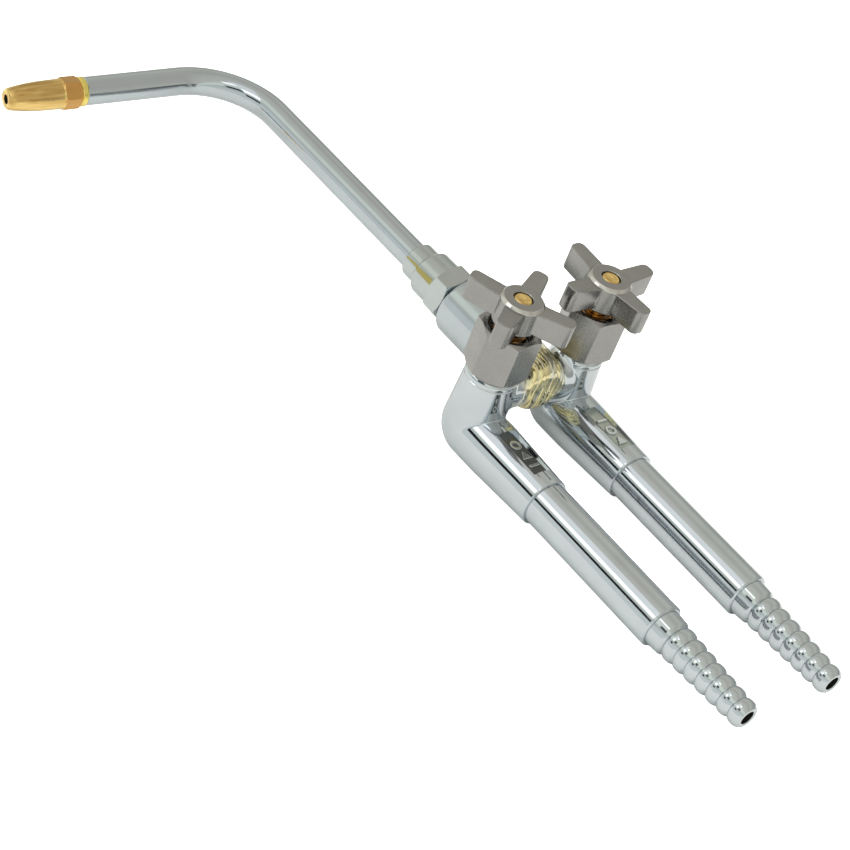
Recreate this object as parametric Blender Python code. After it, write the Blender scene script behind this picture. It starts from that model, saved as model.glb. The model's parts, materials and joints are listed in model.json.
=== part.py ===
"""Lampwork hand torch: two needle valves on hollow handles feed a mixing body and a bent burner neck.

Every piece is drawn in the torch's own frame in millimetres: the two handles lie along -Y at height
zero, the burner neck leaves along +Y and the valve axes stand along +Z.  The last step lays the
whole torch down on the bench, where it rests on the undersides of its two elbows and two grips.
"""
import math

import bmesh
import bpy
from mathutils import Matrix, Vector

MM = 0.001
GAP = 0.3            # clearance between pieces that meet
ROUND = 32           # facets round a large turned piece
SMALL = 24           # facets round a small turned piece
TINY = 18            # facets round a piece that is hidden inside

# Valve bodies and handles
VALVE_X = 25.0       # each valve axis stands this far from the middle
BODY_R = 12.5        # valve body at the elbow; it narrows upwards and along the arm
NECK_R = 11.4        # upright part of a valve body
ARM_R = 11.1         # cast arm where it ends
BODY_TOP = 30.0
ARM_END = 50.2
GRIP_R = 10.0
GRIP_END = 124.6
NOZZLE_END = 176.0
PORT_Z = 18.5        # cross passage to the mixing body

# Mixing body and burner neck
BARREL_Z = 20.5
BARREL_END = 48.4    # the union nut, collar and ferrule are placed from here
BARREL_R = 14.0
BEND_START = 184.0
BEND_R = 36.3
BEND_DEG = 81.3
SWIVEL_DEG = 85.7    # the neck is turned this far round the barrel axis, towards the left
TUBE_R = 6.4
TUBE_BORE = 5.3
TUBE_AFTER_BEND = 45.9

# Valve tops
BONNET_TOP = 52.3
HANDLE_TOP = 67.5
BONNET_TURN = {"left": 35.0, "right": 22.0}
HANDLE_TURN = {"left": 29.0, "right": 0.0}

# How the finished torch lies on the bench
LIE_PITCH = 1.19
LIE_SHIFT = (32.16, -30.38, 12.57)

CHROME = ((0.80, 0.82, 0.84), 0.10)
NICKEL = ((0.60, 0.59, 0.58), 0.34)
BRASS = ((0.80, 0.60, 0.26), 0.22)
WHITE = ((0.88, 0.88, 0.85), 0.50)
BLACK = ((0.03, 0.03, 0.03), 0.60)
RED = ((0.35, 0.10, 0.07), 0.70)

SIDES = {"left": -1.0, "right": 1.0}


def start_clean():
    for thing in list(bpy.data.objects):
        bpy.data.objects.remove(thing, do_unlink=True)


def make_material(name, look):
    colour, rough = look
    material = bpy.data.materials.new(name)
    material.use_nodes = True
    shader = material.node_tree.nodes["Principled BSDF"]
    shader.inputs["Base Color"].default_value = (*colour, 1.0)
    shader.inputs["Roughness"].default_value = rough
    metal = 0.0 if look in (WHITE, BLACK, RED) else 1.0
    shader.inputs["Metallic"].default_value = metal
    return material


def axis_frame(origin, axis, side):
    """A frame whose Z runs along axis and whose X is side, at origin."""
    z = Vector(axis).normalized()
    x = Vector(side)
    x = (x - z * x.dot(z)).normalized()
    y = z.cross(x)
    return Matrix.Translation(Vector(origin)) @ Matrix((x, y, z)).transposed().to_4x4()


def valve_frame(side):
    return axis_frame((SIDES[side] * VALVE_X, 0, 0), (0, 0, 1), (1, 0, 0))


def arm_frame(side):
    return axis_frame((SIDES[side] * VALVE_X, 0, 0), (0, -1, 0), (1, 0, 0))


def barrel_frame():
    return axis_frame((0, 0, BARREL_Z), (0, 1, 0), (1, 0, 0))


def neck_drop():
    """The direction in which the neck bends away from the barrel axis."""
    turn = math.radians(SWIVEL_DEG)
    return Vector((-math.sin(turn), 0, -math.cos(turn)))


def neck_point(along):
    """Point and direction of the neck's middle line, a distance along from where the bend starts."""
    forward, drop = Vector((0, 1, 0)), neck_drop()
    base = Vector((0, BEND_START, BARREL_Z))
    full = math.radians(BEND_DEG)
    arc = BEND_R * full
    if along <= 0:
        return base + forward * along, forward
    angle = min(along / BEND_R, full)
    point = base + forward * (BEND_R * math.sin(angle)) + drop * (BEND_R * (1 - math.cos(angle)))
    heading = forward * math.cos(angle) + drop * math.sin(angle)
    return point + heading * max(0.0, along - arc), heading


def tip_frame():
    """Frame at the tube's free end, Z pointing the way the flame leaves."""
    point, heading = neck_point(BEND_R * math.radians(BEND_DEG) + TUBE_AFTER_BEND)
    return axis_frame(point, heading, heading.cross(neck_drop()))


def rings_to_bmesh(rings, closed):
    """Skin a list of rings; a ring of one point is a pole, and an open list is capped."""
    shape = bmesh.new()
    loops = [[shape.verts.new(point) for point in ring] for ring in rings]
    pairs = list(zip(loops, loops[1:])) + ([(loops[-1], loops[0])] if closed else [])
    for low, high in pairs:
        count = max(len(low), len(high))
        for k in range(count):
            n = (k + 1) % count
            if len(low) == 1:
                shape.faces.new((low[0], high[n], high[k]))
            elif len(high) == 1:
                shape.faces.new((low[k], low[n], high[0]))
            else:
                shape.faces.new((low[k], low[n], high[n], high[k]))
    if not closed:
        for ring in (loops[0], loops[-1]):
            if len(ring) > 2:
                shape.faces.new(ring)
    return shape


def finish(name, shape, pivot, look=None, crease=32.0):
    """Turn a bmesh drawn in torch millimetres into an object whose origin is at pivot."""
    shape.transform(Matrix.Scale(MM, 4) @ Matrix.Translation(-Vector(pivot)))
    bmesh.ops.remove_doubles(shape, verts=shape.verts, dist=1e-7)
    bmesh.ops.recalc_face_normals(shape, faces=shape.faces)
    mesh = bpy.data.meshes.new(name)
    shape.to_mesh(mesh)
    shape.free()
    thing = bpy.data.objects.new(name, mesh)
    bpy.context.scene.collection.objects.link(thing)
    thing.location = Vector(pivot) * MM
    shade(thing, crease)
    if look is not None:
        mesh.materials.append(make_material(name, look))
    return thing


def shade(thing, crease):
    thing.data.shade_smooth()
    thing.data.set_sharp_from_angle(angle=math.radians(crease))


def circle(radius, height, facets, turn=0.0):
    step = 2 * math.pi / facets
    return [Vector((radius * math.cos(turn + k * step), radius * math.sin(turn + k * step), height))
            for k in range(facets)]


def lathe(name, profile, frame, pivot, look=None, facets=SMALL, hollow=False, crease=32.0, turn=0.0):
    """Turn a profile of (radius, height) pairs about the frame's Z axis."""
    rings = [[Vector((0, 0, h))] if r <= 0 else circle(r, h, facets, turn) for r, h in profile]
    shape = rings_to_bmesh(rings, hollow)
    shape.transform(frame)
    return finish(name, shape, pivot, look, crease)


def rod(radius, low, high, frame, facets=SMALL, turn=0.09):
    """A plain cylinder; the small turn keeps its facets off the edges of the piece it meets."""
    return lathe("cutter", [(0, low), (radius, low), (radius, high), (0, high)], frame, (0, 0, 0),
                 facets=facets, turn=turn)


def prism(outline, low, high, frame):
    rings = [[Vector((x, y, h)) for x, y in outline] for h in (low, high)]
    shape = rings_to_bmesh(rings, False)
    shape.transform(frame)
    return finish("cutter", shape, (0, 0, 0))


def hexagon(across_flats, turn_deg):
    """Outline of a hexagon with one flat's normal at turn_deg."""
    radius = across_flats / math.sqrt(3)
    corners = [math.radians(turn_deg + 30 + 60 * k) for k in range(6)]
    return [(radius * math.cos(a), radius * math.sin(a)) for a in corners]


def combine(thing, tool, operation, crease=32.0):
    """Apply a Boolean at once and throw the tool away."""
    step = thing.modifiers.new("step", "BOOLEAN")
    step.operation, step.object, step.solver = operation, tool, "EXACT"
    bpy.context.view_layer.update()
    graph = bpy.context.evaluated_depsgraph_get()
    fresh = bpy.data.meshes.new_from_object(thing.evaluated_get(graph))
    old = thing.data
    thing.modifiers.clear()
    name = old.name
    thing.data = fresh
    bpy.data.meshes.remove(old)
    fresh.name = name
    bpy.data.objects.remove(tool, do_unlink=True)
    shade(thing, crease)
    return thing


def arc_points(centre_r, centre_h, radius, start_deg, end_deg, steps):
    """Points of a quarter round in a lathe profile."""
    points = []
    for k in range(steps + 1):
        a = math.radians(start_deg + (end_deg - start_deg) * k / steps)
        points.append((centre_r + radius * math.cos(a), centre_h + radius * math.sin(a)))
    return points


def elbow_rings(side, facets=ROUND):
    """Upright cylinder turning into the cast arm: sharp inside the bend, well rounded outside."""
    x0 = SIDES[side] * VALVE_X
    rings = [[Vector((x0 + r * math.sin(a), -r * math.cos(a), h))
              for a in (2 * math.pi * k / facets for k in range(facets))]
             for r, h in ((9.9, BODY_TOP), (11.0, BODY_TOP - 1.0), (NECK_R, BODY_TOP - 3.4))]
    steps = 5
    for s in range(steps + 1):
        ring = []
        for k in range(facets):
            a = 2 * math.pi * k / facets
            bend = 0.5 + 15.0 * ((1 - math.cos(a)) / 2) ** 1.8
            turn = math.pi / 2 * s / steps
            y = -BODY_R * math.cos(a) - bend * (1 - math.cos(turn))
            z = BODY_R * math.cos(a) + bend * (1 - math.sin(turn))
            ring.append(Vector((x0 + BODY_R * math.sin(a), y, z)))
        rings.append(ring)
    for r, along in ((ARM_R + 0.1, ARM_END - 1.1), (ARM_R - 0.8, ARM_END)):
        rings.append([Vector((x0 + r * math.sin(a), -along, r * math.cos(a)))
                      for a in (2 * math.pi * k / facets for k in range(facets))])
    return rings


def build_valve_body(side):
    x0 = SIDES[side] * VALVE_X
    up, back = valve_frame(side), arm_frame(side)
    inward = axis_frame((x0, 0, PORT_Z), (-SIDES[side], 0, 0), (0, 1, 0))
    body = finish(side + "_valve_body", rings_to_bmesh(elbow_rings(side), False), (x0, 0, 0), CHROME)
    combine(body, rod(8.0, 11.5, 40.0, up), "DIFFERENCE")
    combine(body, rod(9.1, 29.0, 40.0, up), "DIFFERENCE")
    combine(body, rod(2.7, 0.4, 14.0, up, 12, 0.2), "DIFFERENCE")
    combine(body, rod(3.3, -2.0, 60.0, back, 12), "DIFFERENCE")
    combine(body, rod(7.5, 39.0, 60.0, back), "DIFFERENCE")
    combine(body, rod(5.8, 5.0, 20.0, inward, TINY), "DIFFERENCE")
    half = 4.3
    plate = [(-half, 19.0), (half, 19.0), (half, 43.0), (-half, 43.0)]
    flat = axis_frame((x0, 0, 0), (0, 0, 1), (-1, 0, 0))
    return combine(body, prism(plate, 9.75, 14.0, flat), "DIFFERENCE")


def build_bonnet(side):
    x0 = SIDES[side] * VALVE_X
    up = valve_frame(side)
    low = BODY_TOP + 0.5
    corner = 24.4 / math.sqrt(3)
    turned = [(0, low), (11.8, low), (corner - 0.7, low + 1.1), (corner + 0.2, low + 2.0),
              (corner + 0.2, BONNET_TOP - 1.6), (corner - 0.7, BONNET_TOP - 1.0),
              (12.0, BONNET_TOP), (0, BONNET_TOP)]
    bonnet = lathe(side + "_bonnet", turned, up, (x0, 0, 0), NICKEL, 36)
    combine(bonnet, prism(hexagon(24.4, BONNET_TURN[side]), low - 1, BONNET_TOP + 1, up), "INTERSECT")
    combine(bonnet, rod(7.7, 25.0, low + 1.0, up), "UNION")
    combine(bonnet, rod(5.8, 20.0, 40.5, up), "DIFFERENCE")
    combine(bonnet, rod(4.2, 40.0, 42.0, up, TINY), "DIFFERENCE")
    combine(bonnet, rod(6.8, 41.5, 47.0, up), "DIFFERENCE")
    return combine(bonnet, rod(9.6, 46.0, 60.0, up), "DIFFERENCE")


def build_gland_nut(side):
    x0 = SIDES[side] * VALVE_X
    up = valve_frame(side)
    turned = [(0, 46.3), (6.9, 46.3), (7.5, 46.9), (7.5, 49.4), (6.7, 50.1), (0, 50.1)]
    nut = lathe(side + "_gland_nut", turned, up, (x0, 0, 0), BRASS)
    combine(nut, prism(hexagon(13.4, BONNET_TURN[side] + 11), 46, 51, up), "INTERSECT")
    combine(nut, rod(6.5, 44.1, 47.0, up), "UNION")
    return combine(nut, rod(4.2, 40.0, 60.0, up, TINY), "DIFFERENCE")


def build_spindle(side, pivot):
    """Threaded needle stem; its peened end shows in the middle of the handle."""
    profile = [(0, 16.4), (5.0, 16.4), (5.5, 17.0), (5.5, 37.4), (4.9, 38.0), (3.9, 38.3), (3.9, 66.7),
               (3.4, 67.2), (0, 67.25)]
    stem = lathe(side + "_spindle", profile, valve_frame(side), pivot, BRASS)
    return combine(stem, rod(2.3, 10.0, 23.0, valve_frame(side), 12), "DIFFERENCE")


def build_jumper(side, pivot):
    """Non-turning carrier for the seat disc, held in the foot of the spindle."""
    profile = [(0, 13.2), (4.2, 13.2), (4.2, 12.0), (5.8, 12.0), (5.8, 16.0), (2.0, 16.0), (2.0, 22.6),
               (0, 22.6)]
    return lathe(side + "_jumper", profile, valve_frame(side), pivot, BRASS, TINY)


def cross_outline(inset, turn_deg):
    """Plan of the four-armed handle, moved inwards by inset; the point count never changes."""
    half, reach, corner, fillet = 4.2, 23.6, 2.7, 3.4
    root = 9.3 - inset
    w = half - inset
    blend = fillet + inset
    centre_x = math.sqrt((root + blend) ** 2 - (w + blend) ** 2)
    lean = math.atan2(w + blend, centre_x)
    one_arm = []
    for k in range(4):
        a = lean + math.pi + (math.pi * 1.5 - lean - math.pi) * k / 3
        one_arm.append((centre_x + blend * math.cos(a), w + blend + blend * math.sin(a)))
    r = corner - inset
    for k in range(3):
        a = math.pi / 2 - math.pi / 2 * k / 2
        one_arm.append((reach - inset - r + r * math.cos(a), w - r + r * math.sin(a)))
    one_arm += [(x, -y) for x, y in reversed(one_arm)]
    gap = math.pi / 2 - 2 * lean
    waist = [(root * math.cos(lean + gap / 2), -root * math.sin(lean + gap / 2))]
    outline = []
    for quarter in range(4):
        turn = math.radians(turn_deg) - quarter * math.pi / 2
        c, s = math.cos(turn), math.sin(turn)
        outline += [(x * c - y * s, x * s + y * c) for x, y in one_arm + waist]
    return outline


def build_handle(side, pivot):
    """Deep four-armed hand wheel with a raised round hub."""
    up, turn = valve_frame(side), HANDLE_TURN[side]
    edge = 1.3
    low, high = 56.0, HANDLE_TOP - 2.2
    rings = []
    for k in range(3):
        a = math.pi / 2 * k / 2
        rings.append((edge * (1 - math.sin(a)), low + edge * (1 - math.cos(a)), 0.0))
    for k in range(3):
        a = math.pi / 2 * k / 2
        rings.append((edge * (1 - math.cos(a)), high - edge * (1 - math.sin(a)), 0.088))
    skins = []
    for inset, height, slope in rings:
        skins.append([Vector((x, y, height + slope * math.hypot(x, y)))
                      for x, y in cross_outline(inset, turn)])
    skins = [[Vector((0, 0, low))]] + skins + [[Vector((0, 0, high))]]
    shape = rings_to_bmesh(skins, False)
    shape.transform(up)
    handle = finish(side + "_handle", shape, pivot, NICKEL, 40.0)
    hub = [(0, 54.4), (8.9, 54.4), (9.6, 55.2), (9.6, HANDLE_TOP - 1.5)]
    hub += arc_points(8.2, HANDLE_TOP - 1.4, 1.4, 0, 90, 2) + [(0, HANDLE_TOP)]
    combine(handle, lathe("cutter", hub, up, (0, 0, 0), facets=ROUND), "UNION", 40.0)
    return combine(handle, rod(4.2, 50.0, 70.0, up), "DIFFERENCE", 40.0)


def build_grip(side, pivot):
    profile = [(5.8, GRIP_END), (GRIP_R - 0.8, GRIP_END), (GRIP_R, GRIP_END - 0.8), (GRIP_R, ARM_END + GAP),
               (7.2, ARM_END + GAP), (7.2, 39.6), (5.4, 39.6), (5.4, 52.0), (7.4, 54.0), (7.4, 111.0),
               (5.4, 113.4), (5.8, 113.4)]
    return lathe(side + "_grip", profile, arm_frame(side), pivot, CHROME, ROUND, hollow=True)


def build_hose_nozzle(side, pivot):
    profile = [(3.1, 115.0), (5.5, 115.0), (5.5, GRIP_END + GAP), (8.5, GRIP_END + GAP), (8.2, 131.2),
               (6.8, 132.2)]
    beads, first = 7, 132.2
    pitch = (NOZZLE_END - first) / beads
    for i in range(beads):
        peak = 7.9 - 1.7 * i / (beads - 1)
        steps = (-0.75, 0.0, 0.75) + ((1.0,) if i < beads - 1 else ())
        for t in steps:
            swell = math.sqrt(max(0.0, 1 - t * t))
            profile.append((peak - 1.35 + 1.35 * swell, first + pitch * (i + 0.5 + t / 2)))
    profile += [(4.9, NOZZLE_END), (3.1, NOZZLE_END)]
    return lathe(side + "_hose_nozzle", profile, arm_frame(side), pivot, CHROME, SMALL, hollow=True,
                 crease=50.0)


def ring(name, inner, outer, low, high, frame, pivot, look, facets=TINY):
    profile = [(inner, low), (outer, low), (outer, high), (inner, high)]
    return lathe(name, profile, frame, pivot, look, facets, hollow=True)


def build_side(side):
    x0 = SIDES[side] * VALVE_X
    base = (x0, 0, 0)
    up, back = valve_frame(side), arm_frame(side)
    build_valve_body(side)
    build_bonnet(side)
    ring(side + "_bonnet_seal", 8.0, 8.9, 29.2, 30.2, up, base, RED, SMALL)
    build_gland_nut(side)
    ring(side + "_packing", 4.2, 6.5, 41.8, 43.8, up, base, WHITE)
    build_spindle(side, base)
    build_jumper(side, base)
    lathe(side + "_seat_disc", [(0, 11.8), (3.9, 11.8), (3.9, 12.9), (0, 12.9)], up, base, BLACK, TINY)
    build_handle(side, base)
    build_grip(side, base)
    ring(side + "_nozzle_seal", 3.6, 5.2, 113.7, 114.7, back, base, RED)
    build_hose_nozzle(side, base)


def clearance(side):
    """The space a valve body takes, a little oversize, for the cross arm that butts against it."""
    profile = [(0, -40), (BODY_R + GAP, -40), (BODY_R + GAP, 14.0), (NECK_R + GAP, BODY_TOP - 3.4),
               (NECK_R + GAP, 60), (0, 60)]
    return lathe("cutter", profile, valve_frame(side), (0, 0, 0), facets=ROUND)


def build_mixer_body():
    """Cross arms between the two valves with the forward barrel and its threaded end."""
    ahead = barrel_frame()
    across = axis_frame((0, 0, PORT_Z), (1, 0, 0), (0, 1, 0))
    barrel = [(0, -10.8)] + arc_points(6.4, -4.3, 6.5, -90, -15, 3)
    shoulder = 3.1
    barrel += [(13.2, 1.0), (BARREL_R, 14.0)]
    barrel += arc_points(BARREL_R - shoulder, BARREL_END - shoulder, shoulder, 0, 90, 3)
    barrel += [(8.7, BARREL_END), (8.7, BARREL_END + 9.3), (0, BARREL_END + 9.3)]
    body = lathe("mixer_body", barrel, ahead, (0, 0, BARREL_Z), CHROME, ROUND)
    reach = 16.0
    arms = [(0, -reach), (10.7, -reach), (10.7, -13.6), (10.0, -10.5), (10.0, 10.5), (10.7, 13.6),
            (10.7, reach), (0, reach)]
    combine(body, lathe("cutter", arms, across, (0, 0, 0), facets=ROUND), "UNION")
    for side in SIDES:
        combine(body, clearance(side), "DIFFERENCE")
        out = axis_frame((0, 0, PORT_Z), (SIDES[side], 0, 0), (0, 1, 0))
        combine(body, rod(5.5, 10.0, 16.4, out, TINY), "UNION")
    combine(body, rod(3.3, -20, 20, across, 12), "DIFFERENCE")
    combine(body, rod(3.6, 0.0, 30.0, ahead, 12), "DIFFERENCE")
    return combine(body, rod(6.4, 22.0, 72.0, ahead), "DIFFERENCE")


def build_neck():
    ahead, hub = barrel_frame(), (0, 0, BARREL_Z)
    jet = [(1.1, 24.0), (6.1, 24.0), (6.1, 33.0), (4.4, 34.4), (3.4, 42.0), (2.2, 47.0), (1.1, 47.0)]
    lathe("injector", jet, ahead, hub, BRASS, TINY, hollow=True)
    ring("neck_seal", 4.6, 8.0, BARREL_END + 9.6, BARREL_END + 10.4, ahead, hub, RED)

    low, high = BARREL_END + 0.4, BARREL_END + 10.0
    nut = [(0, low), (11.3, low), (13.2, low + 1.1), (13.2, high - 1.1), (11.3, high), (0, high)]
    union = lathe("union_nut", nut, ahead, hub, CHROME, ROUND)
    combine(union, prism(hexagon(22.8, 13.0), low - 1, high + 1, ahead), "INTERSECT")
    collar_end = BARREL_END + 22.4
    collar = [(0, high - 2.0), (10.6, high - 2.0)] + arc_points(7.8, collar_end - 2.8, 2.8, 0, 78, 3)
    collar += [(0, collar_end)]
    combine(union, lathe("cutter", collar, ahead, (0, 0, 0), facets=ROUND), "UNION")
    flange, shelf = BARREL_END + 10.7, BARREL_END + 15.2
    combine(union, rod(9.4, low - 10.0, shelf + 0.4, ahead), "DIFFERENCE")
    combine(union, rod(8.7, low + 5.0, collar_end + 5.0, ahead), "DIFFERENCE")

    ferrule_end = BARREL_END + 30.4
    ferrule = [(4.6, flange), (9.1, flange), (9.1, shelf), (8.4, shelf)]
    ferrule += arc_points(7.2, ferrule_end - 1.3, 1.2, 0, 70, 2)
    ferrule += [(6.7, ferrule_end), (6.7, shelf + 0.8), (4.6, shelf + 0.8)]
    lathe("tube_ferrule", ferrule, ahead, hub, CHROME, ROUND, hollow=True)

    stops = [shelf + 1.1 - BEND_START, 0.0]
    arc = BEND_R * math.radians(BEND_DEG)
    stops += [arc * k / 12 for k in range(1, 13)] + [arc + TUBE_AFTER_BEND]
    outer, inner = [], []
    side = Vector((0, 1, 0)).cross(neck_drop())
    for along in stops:
        point, heading = neck_point(along)
        frame = axis_frame(point, heading, side)
        outer.append([frame @ v for v in circle(TUBE_R, 0, SMALL)])
        inner.append([frame @ v for v in circle(TUBE_BORE, 0, SMALL)])
    finish("burner_tube", rings_to_bmesh(outer + inner[::-1], True), hub, CHROME)

    end = tip_frame()
    pivot = end.translation.copy()
    bush = [(4.2, -10.0), (4.9, -10.0), (4.9, GAP), (TUBE_R, GAP), (TUBE_R, 2.5), (4.2, 2.5)]
    lathe("tip_socket", bush, end, hub, BRASS, SMALL, hollow=True)

    base = 2.8
    cone = [(0, base), (6.6, base), (7.3, base + 0.7), (7.3, base + 6.6), (6.75, base + 8.9),
            (6.65, base + 14.7), (6.5, base + 19.8), (6.05, base + 25.3), (5.25, base + 31.2),
            (4.7, base + 33.4), (4.05, base + 34.0), (0, base + 34.0)]
    tip = lathe("burner_tip", cone, end, pivot, BRASS, 30)
    combine(tip, prism(hexagon(12.8, 12.0), base - 1, 60, end), "INTERSECT")
    combine(tip, lathe("cutter", [(0, -8.0), (3.3, -8.0), (3.9, -7.3), (3.9, base + 1), (0, base + 1)],
                       end, (0, 0, 0)), "UNION")
    combine(tip, rod(2.6, -20.0, base + 20.0, end, TINY), "DIFFERENCE")
    return combine(tip, rod(1.8, 0.0, 60.0, end, TINY), "DIFFERENCE")


def lay_down():
    """Tilt the torch on to its elbows and grips and centre it over the origin."""
    lie = Matrix.Translation(Vector(LIE_SHIFT) * MM) @ Matrix.Rotation(math.radians(LIE_PITCH), 4, "X")
    for thing in bpy.data.objects:
        thing.matrix_world = lie @ thing.matrix_world


start_clean()
for each in SIDES:
    build_side(each)
build_mixer_body()
build_neck()
bpy.context.view_layer.update()
lay_down()
bpy.context.view_layer.update()
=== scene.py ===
"""Looks for the lampwork hand torch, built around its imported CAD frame.

Visible pieces are modelled again in the torch's own frame, in millimetres: the hollow grips lie
along -Y at height zero, the burner neck leaves along +Y and the valve axes stand along +Z.  The
frame's joints say where that torch frame lies in the world, so every piece lands on its CAD node.
"""
import json
import math

import bmesh
import bpy
from mathutils import Matrix, Vector


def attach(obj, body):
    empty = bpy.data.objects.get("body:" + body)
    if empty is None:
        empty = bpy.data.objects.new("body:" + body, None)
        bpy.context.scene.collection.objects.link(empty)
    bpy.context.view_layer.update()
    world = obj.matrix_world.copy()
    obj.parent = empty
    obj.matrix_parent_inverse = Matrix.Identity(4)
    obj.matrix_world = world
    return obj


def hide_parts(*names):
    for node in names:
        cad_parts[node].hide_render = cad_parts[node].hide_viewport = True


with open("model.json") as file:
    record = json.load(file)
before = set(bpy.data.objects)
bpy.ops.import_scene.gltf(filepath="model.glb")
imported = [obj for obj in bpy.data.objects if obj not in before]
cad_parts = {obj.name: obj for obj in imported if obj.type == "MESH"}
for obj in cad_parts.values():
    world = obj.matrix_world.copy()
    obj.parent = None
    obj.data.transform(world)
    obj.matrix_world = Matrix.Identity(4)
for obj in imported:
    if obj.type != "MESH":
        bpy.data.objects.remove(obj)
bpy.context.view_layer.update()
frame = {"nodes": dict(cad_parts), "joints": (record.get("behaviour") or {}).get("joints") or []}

MM = 0.001
TURN = 2 * math.pi
ROUND = 96            # facets round a turned piece
FINE = 144            # facets round the castings

# The torch's driving sizes, in millimetres
BODY_R, NECK_R, ARM_R = 12.5, 11.4, 11.1
BODY_TOP = 30.0
ARM_END = 50.2
GRIP_R, GRIP_END, NOZZLE_END = 10.0, 124.6, 176.0
PORT_Z = 18.5
CROSS_R = 10.0
BARREL_R, BARREL_END = 14.0, 48.4   # union nut, collar and ferrule are placed from the barrel's end
UNION_FLATS, UNION_TURN = 22.8, 13.0
BEND_START, BEND_R, BEND_DEG = 184.0, 36.3, 81.3
TUBE_R, TUBE_BORE, TUBE_AFTER_BEND = 6.4, 5.3, 45.9
TIP_BASE, TIP_LENGTH = 2.8, 34.0
BONNET_TOP, HANDLE_TOP = 52.3, 67.5
BONNET_FLATS, BONNET_RECESS = 24.4, 46.0
BONNET_TURN = {"left": 35.0, "right": 22.0}
HANDLE_TURN = {"left": 29.0, "right": 0.0}
TIP_TURN = 12.0
VALVE_MARK = 60.0     # height at which the frame gives the valve joints
SIDES = {"left": -1.0, "right": 1.0}


# ---------------------------------------------------------------- the torch frame, from the joints

JOINTS = {joint["name"]: joint for joint in frame["joints"]}


def joint_point(name):
    return Vector(JOINTS[name]["pos_m"])


def joint_axis(name):
    return Vector(JOINTS[name]["axis"]).normalized()


def find_torch_frame():
    """World matrix of the torch frame, still in metres."""
    up, ahead = joint_axis("left_valve_turn"), joint_axis("neck_swivel")
    right = ahead.cross(up).normalized()
    ahead = up.cross(right)
    middle = (joint_point("left_valve_turn") + joint_point("right_valve_turn")) / 2
    origin = middle - up * VALVE_MARK * MM
    return Matrix.Translation(origin) @ Matrix((right, ahead, up)).transposed().to_4x4()


TORCH = find_torch_frame()
INTO_TORCH = TORCH.inverted()
VALVE_X = (INTO_TORCH @ joint_point("right_valve_turn")).x / MM
BARREL_Z = (INTO_TORCH @ joint_point("neck_swivel")).z / MM
TIP_WAY = (INTO_TORCH.to_3x3() @ joint_axis("tip_draw")).normalized()
AHEAD = Vector((0, 1, 0))
NECK_DROP = (TIP_WAY - AHEAD * math.cos(math.radians(BEND_DEG))).normalized()


def axis_frame(origin, axis, side):
    """A frame at origin, in millimetres, whose Z runs along axis and whose X is side."""
    z = Vector(axis).normalized()
    x = Vector(side)
    x = (x - z * x.dot(z)).normalized()
    y = z.cross(x)
    return Matrix.Translation(Vector(origin)) @ Matrix((x, y, z)).transposed().to_4x4()


def valve_frame(side):
    return axis_frame((SIDES[side] * VALVE_X, 0, 0), (0, 0, 1), (1, 0, 0))


def arm_frame(side):
    return axis_frame((SIDES[side] * VALVE_X, 0, 0), (0, -1, 0), (1, 0, 0))


BARREL = axis_frame((0, 0, BARREL_Z), AHEAD, (1, 0, 0))
CASTING = Matrix.Identity(4)


def neck_point(along):
    """Point and heading of the neck's middle line, a distance along from where the bend starts."""
    full = math.radians(BEND_DEG)
    base = Vector((0, BEND_START, BARREL_Z))
    if along <= 0:
        return base + AHEAD * along, AHEAD
    angle = min(along / BEND_R, full)
    point = base + AHEAD * (BEND_R * math.sin(angle)) + NECK_DROP * (BEND_R * (1 - math.cos(angle)))
    heading = AHEAD * math.cos(angle) + NECK_DROP * math.sin(angle)
    return point + heading * max(0.0, along - BEND_R * full), heading


BEND_LENGTH = BEND_R * math.radians(BEND_DEG)
TIP_POINT, TIP_HEADING = neck_point(BEND_LENGTH + TUBE_AFTER_BEND)
TIP = axis_frame(TIP_POINT, TIP_HEADING, TIP_HEADING.cross(NECK_DROP))


# ---------------------------------------------------------------- materials

def add_maths(tree, operation, first, second):
    """Add a maths node to a tree; each input is a number or another node's output."""
    node = tree.nodes.new("ShaderNodeMath")
    node.operation = operation
    for socket, value in zip(node.inputs, (first, second)):
        if isinstance(value, (int, float)):
            socket.default_value = value
        else:
            tree.links.new(value, socket)
    return node.outputs["Value"]


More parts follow.
